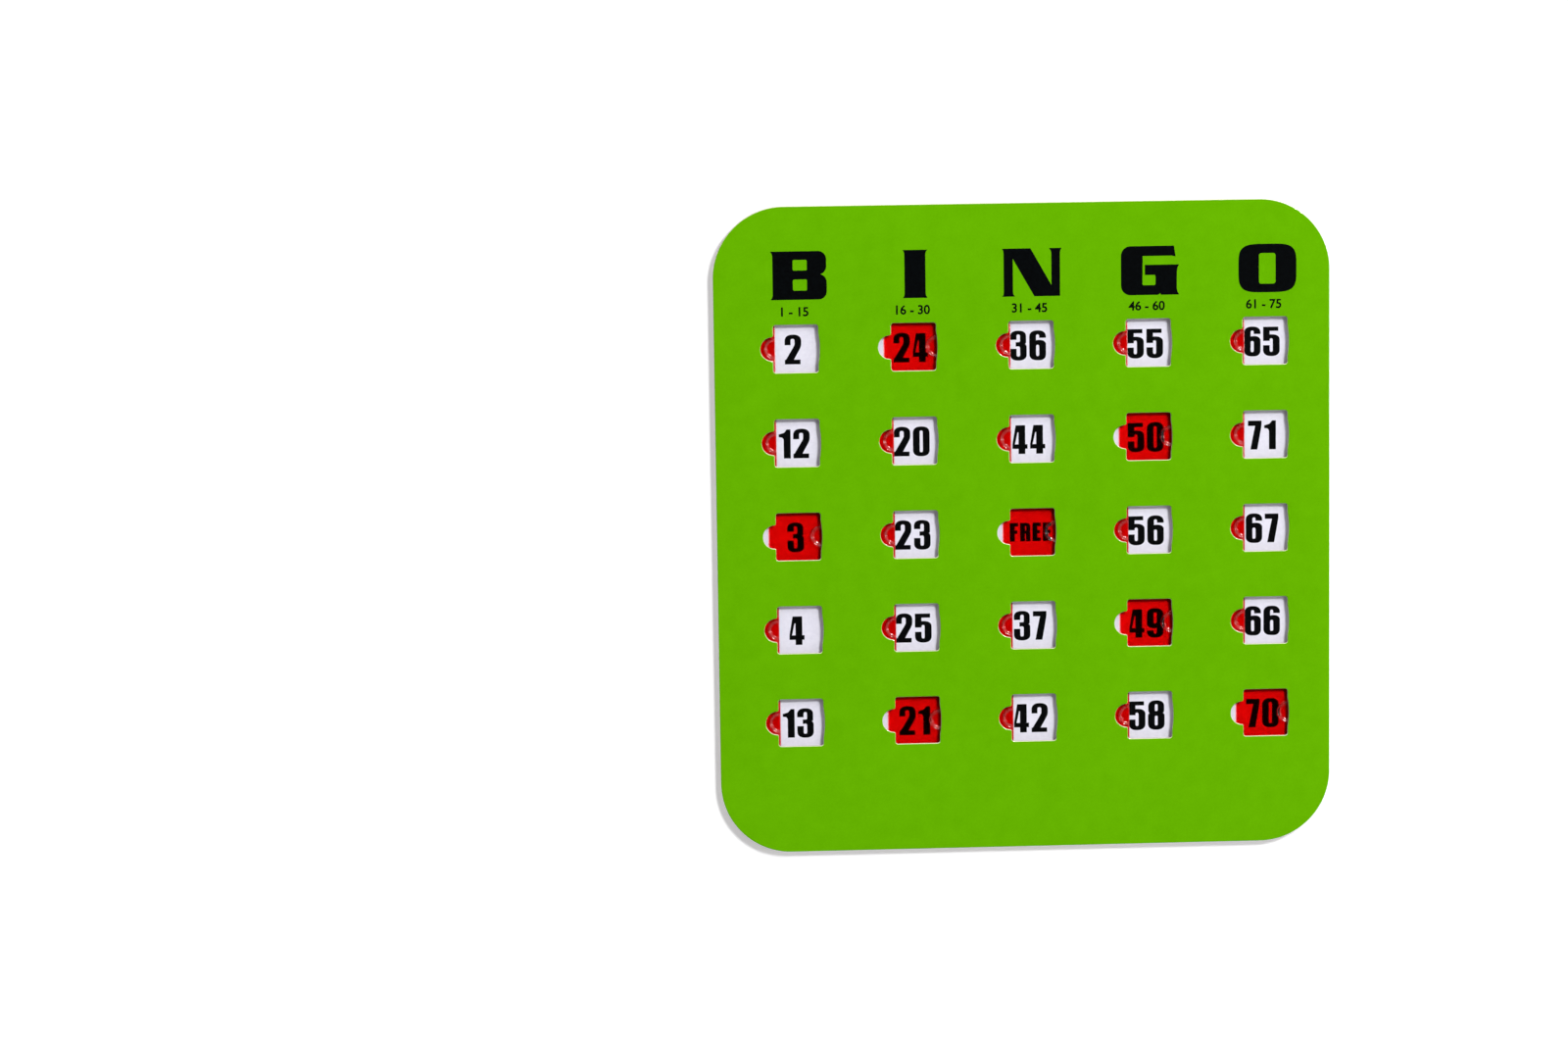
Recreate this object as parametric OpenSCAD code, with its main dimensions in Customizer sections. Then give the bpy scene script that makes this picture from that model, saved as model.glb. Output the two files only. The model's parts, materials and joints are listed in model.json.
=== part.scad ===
// Shutter bingo card. A stiff card of glued paper and board layers has five columns
// of five windows. Under each window a number is printed, and a thin translucent
// shutter lies in a flat channel beside it. A fingertip in the half-round notch
// pushes the shutter's raised tab to the right until the shutter covers the number.
// The card lies on its back: +Z comes out of the printed face, +Y points to the
// heading, +X to the reader's right. The origin is the middle of the back face.

/* [Card] */
// Board left between the first column's channels and the card's left edge
left_margin = 2.2; // [1:0.1:20]
// Board left between the last column's channels and the card's right edge
right_margin = 11.9; // [1:0.1:30]
// Board left above the first row's channels, for the heading and the letters
head_margin = 33.2; // [24:0.1:60]
// Board left below the last row's channels
foot_margin = 30.3; // [24:0.1:60]
// Radius of the card's four corners
corner_r = 20.8; // [4:0.1:24]

/* [Layers] */
// Thickness of the lining paper on the back
back_sheet_t = 0.1; // [0.05:0.01:0.3]
// Thickness of the board that closes the channels from behind
back_board_t = 0.6; // [0.3:0.05:1.5]
// Thickness of the paper that the numbers are printed on
number_sheet_t = 0.1; // [0.05:0.01:0.3]
// Thickness of the board that the windows are cut through
face_board_t = 0.6; // [0.4:0.05:1.5]
// Thickness of the printed and laminated sheet on the front
face_sheet_t = 0.2; // [0.1:0.01:0.4]

/* [Grid of windows] */
// Board left between one column's channels and the next column's
column_wall = 5.6; // [2:0.1:20]
// Board left between one row's channels and the next row's
row_wall = 11; // [2:0.1:30]

/* [Window] */
// Width of a window, without its notch
window_w = 13.2; // [10:0.1:14]
// Height of a window
window_h = 14; // [11:0.1:16]
// Radius of a window's four corners
window_corner_r = 0.8; // [0.2:0.1:2]
// How far the notch's middle lies outside the window's left edge
notch_out = 0.3; // [0.1:0.05:0.6]
// Radius that blends the notch into the window's left edge
notch_blend_r = 0.5; // [0.1:0.1:0.9]

/* [Shutter] */
// Thickness of the shutter's plate
plate_t = 0.35; // [0.2:0.05:0.6]
// How far the closed shutter reaches past the window's left edge
cover_left = 1.9; // [1:0.1:2.2]
// How far the closed shutter reaches past the window's right edge
cover_right = 0.3; // [0.2:0.05:0.8]
// How far the shutter reaches past the window's top and bottom edges
cover_side = 1.1; // [0.6:0.1:2]
// Radius of the plate's corners
plate_corner_r = 0.6; // [0.2:0.1:1.5]
// Width of the bevel along the plate's two upright ends
end_bevel = 0.45; // [0.1:0.05:0.6]
// Thickness that the bevel leaves at the very end
end_t = 0.15; // [0.05:0.01:0.19]

/* [Finger tab] */
// Radius of the half-moon tab
tab_r = 3.25; // [2.6:0.05:3.6]
// How far the tab's straight side enters the bow in the window's right edge
tab_reach = 0.1; // [0:0.01:0.18]
// How far the open tab's middle lies right of the notch's middle
tab_off = 0.7; // [0.3:0.05:1.2]
// How far the tab's rim lies below the printed face
tab_sunk = 0.1; // [0.05:0.01:0.3]
// Run of the slope outside the tab's rim
rim_outer_run = 0.2; // [0.1:0.05:0.6]
// Width of the rim's flat top
rim_w = 0.2; // [0.1:0.05:1]
// Run of the slope down into the tab's dished middle
rim_inner_run = 0.7; // [0.2:0.05:1]
// How high the dish's floor stands above the plate
dish_floor = 0.12; // [0.05:0.01:0.3]

/* [Fit] */
// Free width round the open tab in the half-round finger notch
notch_gap = 0.2; // [0.1:0.05:1]
// Free width between the closed tab and the middle of the bow
bow_gap = 0.3; // [0.25:0.05:0.5]
// How far the bow runs on above and below the tab
bow_side = 1.25; // [1:0.1:1.6]
// Free height above and below a shutter in its channel
lift_gap = 0.075; // [0.03:0.005:0.15]
// Free width beside a shutter, above it and below it on the page
side_gap = 0.2; // [0.1:0.05:0.5]
// Free length past a shutter at each end of its travel
end_gap = 0.3; // [0.1:0.05:0.6]
// Radius of the channel's corners
channel_corner_r = 0.6; // [0.2:0.1:1.5]

/* [Hidden] */
$fn = 64;
// One letter for each column, and the number of windows in a column
columns = ["b", "i", "n", "g", "o"];
windows_per_column = 5;
// The shutters that cover their number in the pose that the card is stored in
covered = ["i1", "g2", "b3", "n3", "g4", "i5", "o5"];

// Share of its radius that a notch blend's centre stands off the edge and the notch
blend_reach_share = 0.95;

// Heights at which each layer starts, counted up from the back face
back_board_z = back_sheet_t;
number_sheet_z = back_board_z + back_board_t;
channel_board_z = number_sheet_z + number_sheet_t;
channel_board_t = plate_t + 2 * lift_gap;
face_board_z = channel_board_z + channel_board_t;
face_sheet_z = face_board_z + face_board_t;
card_t = face_sheet_z + face_sheet_t;

// The shutter covers the window with its laps. Its tab sets both ends of the travel.
shutter_l = cover_left + window_w + cover_right;
shutter_h = window_h + 2 * cover_side;
travel = window_w + tab_reach + notch_out - tab_off;

// The channel is what the shutter sweeps, with the free length and width around it
channel_l = shutter_l + travel + 2 * end_gap;
channel_h = shutter_h + 2 * side_gap;
channel_right = window_w / 2 + cover_right + end_gap;

// The card is as large as its channels, the board between them and its margins
column_pitch = channel_l + column_wall;
row_pitch = channel_h + row_wall;
card_w = left_margin + channel_l + (len(columns) - 1) * column_pitch + right_margin;
card_h = head_margin + channel_h + (windows_per_column - 1) * row_pitch + foot_margin;

// The tab lies in the finger notch when open, and reaches into the bow when closed
tab_back = cover_right - tab_reach;
notch_r = tab_r + notch_gap;
bow_depth = tab_reach + bow_gap;
bow_h = 2 * (tab_r + bow_side);

// The plate's under side rests this high, and the tab rises from the plate's top
plate_z = channel_board_z + lift_gap;
tab_h = card_t - tab_sunk - plate_z - plate_t;
rim_outer_r = tab_r - rim_outer_run;
rim_inner_r = rim_outer_r - rim_w;
dish_r = rim_inner_r - rim_inner_run;

function shutter_name(c, r) = str("shutter_", columns[c], r + 1);
function is_covered(c, r) = len([for (name = covered) if (name == str(columns[c], r + 1)) name]) > 0;

// Middle of a window, counted in columns from the left and in rows from the top
function window_x(c) = left_margin + channel_l - channel_right - card_w / 2 + c * column_pitch;
function window_y(r) = card_h / 2 - head_margin - channel_h / 2 - r * row_pitch;

// Right end of a shutter, from the middle of its window
function shutter_end(c, r) = window_w / 2 + cover_right - (is_covered(c, r) ? 0 : travel);

module rounded_rect(w, h, r) {
    square([w - 2 * r, h], center = true);
    square([w, h - 2 * r], center = true);
    for (x = [-1, 1], y = [-1, 1])
        translate([x * (w / 2 - r), y * (h / 2 - r)]) circle(r = r);
}

// Repeats its children at the middle of every window
module at_windows() {
    for (c = [0 : len(columns) - 1], r = [0 : windows_per_column - 1])
        translate([window_x(c), window_y(r)]) children();
}

// Half-round notch, centred just outside the edge. A small round takes the point off the
// board at each end of its mouth, and crosses the edge and the notch at a slight angle.
module finger_notch() {
    blend_x = notch_blend_r * blend_reach_share;
    blend_y = sqrt(pow(notch_r + blend_x, 2) - pow(blend_x - notch_out, 2));
    translate([-notch_out, 0]) circle(r = notch_r);
    for (side = [-1, 1])
        difference() {
            polygon([
                [-notch_out, 0],
                [notch_blend_r, 0],
                [notch_blend_r, side * blend_y],
                [-blend_x, side * blend_y]
            ]);
            translate([-blend_x, side * blend_y]) circle(r = notch_blend_r);
        }
}

// Shallow arc that bows the edge outwards, as the slice of a large circle
module edge_bow() {
    bow_r = (pow(bow_h / 2, 2) + pow(bow_depth, 2)) / (2 * bow_depth);
    intersection() {
        translate([bow_depth - bow_r, 0]) circle(r = bow_r, $fn = 256);
        square([2 * bow_depth, window_h - 2 * window_corner_r], center = true);
    }
}

// One window as it is cut: a square opening, the finger notch and the bow
module window_cut() {
    rounded_rect(window_w, window_h, window_corner_r);
    translate([-window_w / 2, 0]) finger_notch();
    translate([window_w / 2, 0]) edge_bow();
}

// The room in which one shutter slides
module channel_cut() {
    translate([channel_right - channel_l / 2, 0])
        rounded_rect(channel_l, channel_h, channel_corner_r);
}

// One layer of the card, as thick as t and with its under side at z
module layer(z, t) {
    translate([0, 0, z])
        linear_extrude(height = t)
            difference() {
                rounded_rect(card_w, card_h, corner_r);
                children();
            }
}

// Printed sheet under a clear glossy film
module face_sheet() {
    color("#64B400") layer(face_sheet_z, face_sheet_t) at_windows() window_cut();
}

// Board that the windows are cut through
module face_board() {
    color("#9C8F7E") layer(face_board_z, face_board_t) at_windows() window_cut();
}

// Board with one channel for each shutter
module channel_board() {
    color("#8F8273") layer(channel_board_z, channel_board_t) at_windows() channel_cut();
}

// White paper with the numbers, seen through the windows
module number_sheet() {
    color("#E6E4F0") layer(number_sheet_z, number_sheet_t);
}

// Board that closes the channels from behind
module back_board() {
    color("#9C8F7E") layer(back_board_z, back_board_t);
}

// Lining paper on the back
module back_sheet() {
    color("#E8E6E0") layer(0, back_sheet_t);
}

// Plate with bevelled ends and round corners. Its right end is at x = 0.
module shutter_plate() {
    intersection() {
        rotate([90, 0, 0])
            linear_extrude(height = shutter_h, center = true)
                polygon([
                    [-shutter_l, 0],
                    [0, 0],
                    [0, end_t],
                    [-end_bevel, plate_t],
                    [end_bevel - shutter_l, plate_t],
                    [-shutter_l, end_t]
                ]);
        translate([-shutter_l / 2, 0, 0])
            linear_extrude(height = plate_t)
                rounded_rect(shutter_l, shutter_h, plate_corner_r);
    }
}

// Half-moon tab: a raised rim round a dished middle, turned through half a circle.
// It starts inside the plate, so that the two are one moulding.
module finger_tab() {
    root = plate_t / 2;
    rotate([0, 0, 90])
        rotate_extrude(angle = 180)
            polygon([
                [0, root],
                [tab_r, root],
                [tab_r, plate_t + dish_floor],
                [rim_outer_r, plate_t + tab_h],
                [rim_inner_r, plate_t + tab_h],
                [dish_r, plate_t + dish_floor],
                [0, plate_t + dish_floor]
            ]);
}

// Translucent moulding that covers one number
module shutter(c, r) {
    color("#E00814")
        translate([window_x(c) + shutter_end(c, r), window_y(r), plate_z]) {
            shutter_plate();
            translate([-tab_back, 0, 0]) finger_tab();
        }
}

face_sheet();
face_board();
channel_board();
number_sheet();
back_board();
back_sheet();
for (c = [0 : len(columns) - 1], r = [0 : windows_per_column - 1])
    shutter(c, r);
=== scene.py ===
# %% [markdown]
# # A shutter bingo card
# A stiff card of glued paper and board has 25 windows. Under each window a number is
# printed, and a thin translucent red shutter slides over it. The solids come from the
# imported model, which fixes every size and place. This script dresses them: it makes each
# layer again with the rolled edges that a cutting die leaves, prints the card, moulds the
# shutters and lights the table.

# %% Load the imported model
import json
import math

import bmesh
import bpy
import numpy as np
from mathutils import Euler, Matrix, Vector
from mathutils.geometry import delaunay_2d_cdt


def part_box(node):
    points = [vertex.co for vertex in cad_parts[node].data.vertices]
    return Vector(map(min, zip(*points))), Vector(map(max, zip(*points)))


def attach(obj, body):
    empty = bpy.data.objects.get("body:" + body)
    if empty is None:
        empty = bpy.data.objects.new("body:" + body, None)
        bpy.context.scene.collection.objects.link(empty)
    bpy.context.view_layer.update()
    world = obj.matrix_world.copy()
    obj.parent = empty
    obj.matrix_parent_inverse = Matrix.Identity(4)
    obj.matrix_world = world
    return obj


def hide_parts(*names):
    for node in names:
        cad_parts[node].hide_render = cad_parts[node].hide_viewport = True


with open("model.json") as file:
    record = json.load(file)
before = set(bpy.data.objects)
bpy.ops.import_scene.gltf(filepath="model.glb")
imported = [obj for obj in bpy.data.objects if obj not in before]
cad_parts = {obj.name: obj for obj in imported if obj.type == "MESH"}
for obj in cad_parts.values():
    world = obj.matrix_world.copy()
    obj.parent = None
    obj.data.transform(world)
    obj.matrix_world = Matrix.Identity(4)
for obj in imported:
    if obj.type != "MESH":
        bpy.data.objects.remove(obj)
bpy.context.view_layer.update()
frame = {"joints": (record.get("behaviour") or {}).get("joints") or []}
MM = 0.001

# %% [markdown]
# ## Sizes from the frame
# The card's size, the heights of its layers and the place of every window are read from the
# imported pieces, so a change of the model carries over to them. The corners and the sizes of
# one window and one channel are typed below.

# %% Sizes of the layers and places of the windows
COLUMNS = "bingo"
ROWS = range(1, 6)


def box_mm(node):
    """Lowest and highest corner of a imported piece, in millimetres."""
    low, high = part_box(node)
    return np.array(low) / MM, np.array(high) / MM


card_low, card_high = box_mm("face_sheet")
card_w, card_h = (card_high - card_low)[:2]
face_z = card_high[2]
paper_z = box_mm("number_sheet")[1][2]
joints = {j["name"]: j for j in frame["joints"]}

# Sizes of the card's corners, one window, one channel and their play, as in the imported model
corner_r = 20.8
window_w, window_h, window_r = 13.2, 14.0, 0.8
notch_r, notch_out, blend_r = 3.45, 0.3, 0.5
bow_depth, bow_h = 0.4, 9.0
cover_right = 0.3
end_gap, side_gap, channel_r = 0.3, 0.2, 0.6


def window_middle(column, row):
    """Middle of a window: its closed shutter ends cover_right past the window's edge."""
    name = f"{column}{row}"
    low, high = box_mm(f"shutter_{name}")
    closing = joints[f"slide_{name}"]["range_m"][1] / MM
    return np.array([high[0] + closing - cover_right - window_w / 2, (low[1] + high[1]) / 2])


windows = {f"{c}{r}": window_middle(c, r) for c in COLUMNS for r in ROWS}
travel = joints["slide_b1"]["range_m"][1] / MM
print("window b1:", windows["b1"].round(3), "window o5:", windows["o5"].round(3))
print("card:", card_w.round(3), "by", card_h.round(3), "mm, travel:", round(travel, 3), "mm")

# %% [markdown]
# ## The camera
# The card lies on its back here, and stood on a table in the photograph, so the camera
# stands over it instead of in front of it. Its place comes from a perspective fit to the
# 25 windows and the card's outline, for a lens of 90 mm on a 36 mm wide sensor.

# %% Camera
# Place in mm from the middle of the card's face, and turn in degrees
CAMERA_PLACE = (-126.4, 129.21, 1141.17)
CAMERA_TURN = (-6.2263, -2.8821, -0.8336)
camera = bpy.data.objects.new("camera", bpy.data.cameras.new("camera"))
camera.data.lens = 90
camera.data.sensor_width = 36
camera.data.clip_start, camera.data.clip_end = 0.01, 20
camera.location = (Vector(CAMERA_PLACE) + Vector((0, 0, face_z))) * MM
camera.rotation_euler = Euler([math.radians(a) for a in CAMERA_TURN], "XYZ")
bpy.context.scene.collection.objects.link(camera)
bpy.context.scene.camera = camera
print("camera at", [round(c, 3) for c in camera.location], "lens", camera.data.lens, "mm")

# %% [markdown]
# ## Helpers for materials
# Colours are written as the sRGB hex values that a colour picker gives, and one function
# turns them into the linear values that Blender works in. One more function adds a node.

# %% Colour and node helpers


def linear(hex_colour):
    """Turns "#RRGGBB" into linear RGBA by the sRGB transfer curve."""
    srgb = [int(hex_colour[i:i + 2], 16) / 255 for i in (1, 3, 5)]
    return [c / 12.92 if c <= 0.04045 else ((c + 0.055) / 1.055) ** 2.4 for c in srgb] + [1]


def add(material, kind, inputs=None, **settings):
    """Adds one node to a material or a world. A socket that inputs names takes a plain
    value, or is linked from an output."""
    node = material.node_tree.nodes.new(kind)
    for key, value in settings.items():
        setattr(node, key, value)
    for key, value in (inputs or {}).items():
        if isinstance(value, bpy.types.NodeSocket):
            material.node_tree.links.new(value, node.inputs[key])
        else:
            node.inputs[key].default_value = value
    return node


def new_material(name):
    """An empty node material with an output node. Returns both."""
    material = bpy.data.materials.new(name)
    material.use_nodes = True
    material.node_tree.nodes.clear()
    return material, add(material, "ShaderNodeOutputMaterial")


def ramp(material, factor, stops):
    """Colour ramp with stops as (position, hex colour) in rising order. Returns its
    colour output."""
    node = add(material, "ShaderNodeValToRGB", {"Fac": factor})
    for position, _ in stops[2:]:
        node.color_ramp.elements.new(position)
    for element, (position, colour) in zip(node.color_ramp.elements, stops):
        element.position, element.color = position, linear(colour)
    return node.outputs["Color"]


def finish_with(material, output, shader):
    """Links a shader to the material's surface."""
    material.node_tree.links.new(shader, output.inputs["Surface"])
    return material


# %% [markdown]
# ## Printed and laminated paper
# The face is offset-printed paper under a clear glossy film. The print gives an even green
# with a faint mottle of the ink, and the film gives a sharp clear gloss that waves a
# little, because it is pressed on with a roller. So the colour sits on the base layer, which
# stays matt, and the gloss on the coat, as on the real card. A few pale specks of dust stick
# to the film.

# %% Face print material
# The film's roughness and index of refraction
FILM_ROUGHNESS, FILM_IOR = 0.06, 1.49
# Value from 0 to 1 that a point of the roll needs for the pale colour to show instead of the
# ink: paper that the die uncovered, and a painted highlight on rolls that face up the card
BARE_AND_HIGHLIGHT_FROM = 0.42


def face_print_material():
    """Offset print under a glossy polypropylene film, IOR 1.49."""
    m, out = new_material("laminated_green_print")
    place = add(m, "ShaderNodeTexCoord").outputs["Object"]
    # Mottle of the ink: blotches about 4 mm across, one noise cell in 4 mm
    mottle = add(m, "ShaderNodeTexNoise", {"Vector": place, "Scale": 250.0, "Detail": 3.0})
    # Grain of the print: dots of 0.1 mm, drawn 0.5 mm wide so that they show
    grain = add(m, "ShaderNodeTexNoise", {"Vector": place, "Scale": 2000.0, "Detail": 2.0})
    both = add(m, "ShaderNodeMath", {0: mottle.outputs["Fac"], 1: grain.outputs["Fac"]},
               operation="ADD")
    half = add(m, "ShaderNodeMath", {0: both.outputs[0], 1: 0.5}, operation="MULTIPLY")
    green = ramp(m, half.outputs[0], [(0.3, "#63B000"), (0.7, "#6CBA04")])
    # Dust: one speck in a cell of 14 mm, up to 0.3 mm wide
    specks = add(m, "ShaderNodeTexVoronoi", {"Vector": place, "Scale": 70.0, "Randomness": 1.0})
    near = add(m, "ShaderNodeMath", {0: specks.outputs["Distance"], 1: 0.011},
               operation="LESS_THAN")
    dusty = add(m, "ShaderNodeMix", {0: near.outputs[0], 6: green, 7: linear("#D8EFB0")},
                data_type="RGBA")
    # The die tears the print off the lower part of the roll, along a slightly ragged line. The
    # pale yellow-green there is partly that paper and partly a painted highlight, whose band is
    # widest on rolls that face up the card, towards the key lamp
    bare_and_highlight = add(m, "ShaderNodeAttribute", attribute_name="bare_and_highlight").outputs["Fac"]
    ragged = add(m, "ShaderNodeTexNoise", {"Vector": place, "Scale": 1500.0, "Detail": 2.0})
    line = add(m, "ShaderNodeMapRange", {0: ragged.outputs["Fac"], 3: BARE_AND_HIGHLIGHT_FROM - 0.1,
                                         4: BARE_AND_HIGHLIGHT_FROM + 0.1})
    torn_and_highlight = add(m, "ShaderNodeMath", {0: bare_and_highlight, 1: line.outputs[0]}, operation="GREATER_THAN")
    colour = add(m, "ShaderNodeMix", {0: torn_and_highlight.outputs[0], 6: dusty.outputs[2],
                                      7: linear("#EBECC4")}, data_type="RGBA")
    # Roller waves in the film, about 7 mm from crest to crest
    waves = add(m, "ShaderNodeTexNoise", {"Vector": place, "Scale": 140.0, "Detail": 1.0})
    bump = add(m, "ShaderNodeBump", {"Height": waves.outputs["Fac"], "Strength": 0.25,
                                     "Distance": 0.0002})
    surface = add(m, "ShaderNodeBsdfPrincipled", {
        "Base Color": colour.outputs[2], "Roughness": 0.6, "IOR": 1.45,
        "Specular IOR Level": 0.0, "Coat Weight": 1.0, "Coat Roughness": FILM_ROUGHNESS,
        "Coat IOR": FILM_IOR, "Normal": bump.outputs[0], "Coat Normal": bump.outputs[0]})
    return finish_with(m, out, surface.outputs[0])


# %% [markdown]
# ## Grey board
# The boards are pressed from waste paper. A die cuts them, which leaves a matt grey-brown
# edge with fibres that lie along the layers. An even noise would look like stone there, so
# the noise is stretched along the board and squeezed across it. It draws those fibres in
# the colour and in the bump.

# %% Board material


def board_material():
    """Pressed grey board with its fibres along the layers, matt, IOR 1.5."""
    m, out = new_material("grey_board")
    place = add(m, "ShaderNodeTexCoord").outputs["Object"]
    # Fibre bundles: 3 mm long, and 0.12 mm thick across the layers
    squeeze = add(m, "ShaderNodeMapping", {"Vector": place, "Scale": (1.0, 1.0, 25.0)})
    fibre = add(m, "ShaderNodeTexNoise", {"Vector": squeeze.outputs[0], "Scale": 333.0,
                                          "Detail": 4.0, "Roughness": 0.65})
    # Flecks of the waste paper, 0.4 mm wide
    fleck = add(m, "ShaderNodeTexNoise", {"Vector": place, "Scale": 2500.0, "Detail": 3.0})
    both = add(m, "ShaderNodeMath", {0: fibre.outputs["Fac"], 1: fleck.outputs["Fac"]},
               operation="ADD")
    half = add(m, "ShaderNodeMath", {0: both.outputs[0], 1: 0.5}, operation="MULTIPLY")
    # Dark fibres to pale ones, and a middle tone for the strongest marks
    colour = ramp(m, half.outputs[0],
                  [(0.36, "#5A4B40"), (0.62, "#C3B5A4"), (0.62, "#94877A")])
    bump = add(m, "ShaderNodeBump", {"Height": half.outputs[0], "Strength": 0.9,
                                     "Distance": 0.0001})
    surface = add(m, "ShaderNodeBsdfPrincipled", {
        "Base Color": colour, "Roughness": 0.9, "IOR": 1.5, "Specular IOR Level": 0.25,
        "Normal": bump.outputs[0]})
    return finish_with(m, out, surface.outputs[0])


# %% [markdown]
# ## White papers
# The number sheet is coated paper, which looks a little blue and smooth. The lining on the
# back is plain uncoated paper with visible fibres. Both are one material with other colours,
# another roughness and another size of fibre, so one function makes them.

# %% Paper materials


def paper_material(name, light, dark, roughness, fibre_mm):
    """Paper with a cloudy formation: two close colours mixed by fibre-sized noise."""
    m, out = new_material(name)
    place = add(m, "ShaderNodeTexCoord").outputs["Object"]
    cloud = add(m, "ShaderNodeTexNoise", {"Vector": place, "Scale": 1 / (fibre_mm * MM),
                                          "Detail": 5.0, "Roughness": 0.6})
    colour = ramp(m, cloud.outputs["Fac"], [(0.35, dark), (0.65, light)])
    bump = add(m, "ShaderNodeBump", {"Height": cloud.outputs["Fac"], "Strength": 0.3,
                                     "Distance": 0.00005})
    surface = add(m, "ShaderNodeBsdfPrincipled", {
        "Base Color": colour, "Roughness": roughness, "IOR": 1.5,
        "Specular IOR Level": 0.3, "Normal": bump.outputs[0]})
    return finish_with(m, out, surface.outputs[0])


# %% [markdown]
# ## Printing inks
# The numbers are printed on plain paper, so their black is nearly matt. The heading lies
# under the film with the green, so it has the film's gloss. The only difference is a coat,
# which the one has and the other lacks.

# %% Ink materials


def ink_material(name, colour, roughness, coat):
    """Black ink whose tone breaks up slightly over the paper's fibres."""
    m, out = new_material(name)
    place = add(m, "ShaderNodeTexCoord").outputs["Object"]
    # Ink cover varies over about 0.8 mm
    cover = add(m, "ShaderNodeTexNoise", {"Vector": place, "Scale": 1250.0, "Detail": 2.0})
    tone = ramp(m, cover.outputs["Fac"], [(0.35, "#020304"), (0.7, colour)])
    surface = add(m, "ShaderNodeBsdfPrincipled", {
        "Base Color": tone, "Roughness": roughness, "IOR": 1.45, "Specular IOR Level": 0.05,
        "Coat Weight": coat, "Coat Roughness": FILM_ROUGHNESS, "Coat IOR": FILM_IOR})
    return finish_with(m, out, surface.outputs[0])


# %% [markdown]
# ## Translucent red plastic
# The shutters are moulded in clear polystyrene with a red dye. Light that crosses more
# plastic loses more green and blue, so the thick tab is deep red and the thin bevel is
# nearly pink. A clear surface round an absorbing volume gives that by itself. Glass stops
# the lamps in a path tracer, so for shadow rays the surface is swapped for a see-through
# one, and the dye still colours the light that gets to the paper.

# %% Shutter material


def shutter_material():
    """Dyed clear polystyrene, polished by the mould, IOR 1.59."""
    m, out = new_material("red_polystyrene")
    place = add(m, "ShaderNodeTexCoord").outputs["Object"]
    # Flow marks of the moulding, about 1.5 mm long
    flow = add(m, "ShaderNodeTexNoise", {"Vector": place, "Scale": 660.0, "Detail": 2.0})
    bump = add(m, "ShaderNodeBump", {"Height": flow.outputs["Fac"], "Strength": 0.15,
                                     "Distance": 0.00005})
    # The light grey base colour takes about a fifth of the light at each pass through the
    # plastic: painted shade that makes up for the light which the shadow-ray swap below lets
    # through twice
    surface = add(m, "ShaderNodeBsdfPrincipled", {
        "Base Color": linear("#E6E6E6"), "Roughness": 0.12, "IOR": 1.59,
        "Transmission Weight": 1.0, "Normal": bump.outputs[0]})
    clear = add(m, "ShaderNodeBsdfTransparent")
    path = add(m, "ShaderNodeLightPath")
    swap = add(m, "ShaderNodeMixShader", {0: path.outputs["Is Shadow Ray"],
                                          1: surface.outputs[0], 2: clear.outputs[0]})
    dye = add(m, "ShaderNodeVolumeAbsorption", {"Color": linear("#F91408"),
                                                "Density": 8000.0})
    m.node_tree.links.new(dye.outputs[0], out.inputs["Volume"])
    return finish_with(m, out, swap.outputs[0])


# %% [markdown]
# Each finish is made once, and every piece of the same stuff shares it. The patterns read
# Object coordinates, so two pieces that share a finish still differ, as they lie at
# different places.

# %% Make every material once
face_print = face_print_material()
board = board_material()
number_paper = paper_material("coated_white_paper", "#F0EEFA", "#E9E7F4", 0.45, 1.2)
back_paper = paper_material("lining_paper", "#E9E6DE", "#DAD6CC", 0.8, 0.6)
number_ink = ink_material("number_ink", "#0B0B0D", 0.5, 0.0)
heading_ink = ink_material("heading_ink", "#05080A", 0.5, 1.0)
red_plastic = shutter_material()
print("materials:", ", ".join(material.name for material in bpy.data.materials))

# %% [markdown]
# ## Curves in the plane
# Every outline on the card is straight stretches joined by round ones. An outline is built
# here as an array of points, from arcs whose ends are joined by straight lines.

# %% Outline helpers


def arc(centre, radius, start, end, steps):
    """Points on a circle round centre, from start to end in degrees."""
    t = np.radians(np.linspace(start, end, steps + 1))
    return np.column_stack([centre[0] + radius * np.cos(t), centre[1] + radius * np.sin(t)])


def without_doubles(loop):
    """The loop without points that lie within a ten-thousandth of a mm of the one before."""
    gap = np.linalg.norm(loop - np.roll(loop, 1, axis=0), axis=1)
    return loop[gap > 1e-4]


def round_box(x0, x1, y0, y1, r, steps=10):
    """Box with quarter circles of radius r at its corners, counter-clockwise."""
    corners = [((x1 - r, y1 - r), 0), ((x0 + r, y1 - r), 90),
               ((x0 + r, y0 + r), 180), ((x1 - r, y0 + r), 270)]
    return without_doubles(np.vstack([arc(c, r, a, a + 90, steps) for c, a in corners]))


def window_outline():
    """One window about its middle, counter-clockwise: a square with round corners, the
    half-round notch on its left, blended in by two small arcs, and a bow on its right."""
    x, y, r = window_w / 2, window_h / 2, window_r
    blend_y = math.sqrt((notch_r + blend_r) ** 2 - (blend_r - notch_out) ** 2)
    lean = math.degrees(math.atan2(blend_y, blend_r - notch_out))
    bow_r = (bow_h ** 2 / 4 + bow_depth ** 2) / (2 * bow_depth)
    bow = math.degrees(math.asin(bow_h / 2 / bow_r))
    return without_doubles(np.vstack([
        arc((x + bow_depth - bow_r, 0), bow_r, -bow, bow, 12),
        arc((x - r, y - r), r, 0, 90, 8),
        arc((r - x, y - r), r, 90, 180, 8),
        arc((-x - blend_r, blend_y), blend_r, 0, -lean, 8),
        arc((-x - notch_out, 0), notch_r, 180 - lean, 180 + lean, 40),
        arc((-x - blend_r, -blend_y), blend_r, lean, 0, 8),
        arc((r - x, r - y), r, 180, 270, 8),
        arc((x - r, r - y), r, 270, 360, 8),
    ]))


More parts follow.
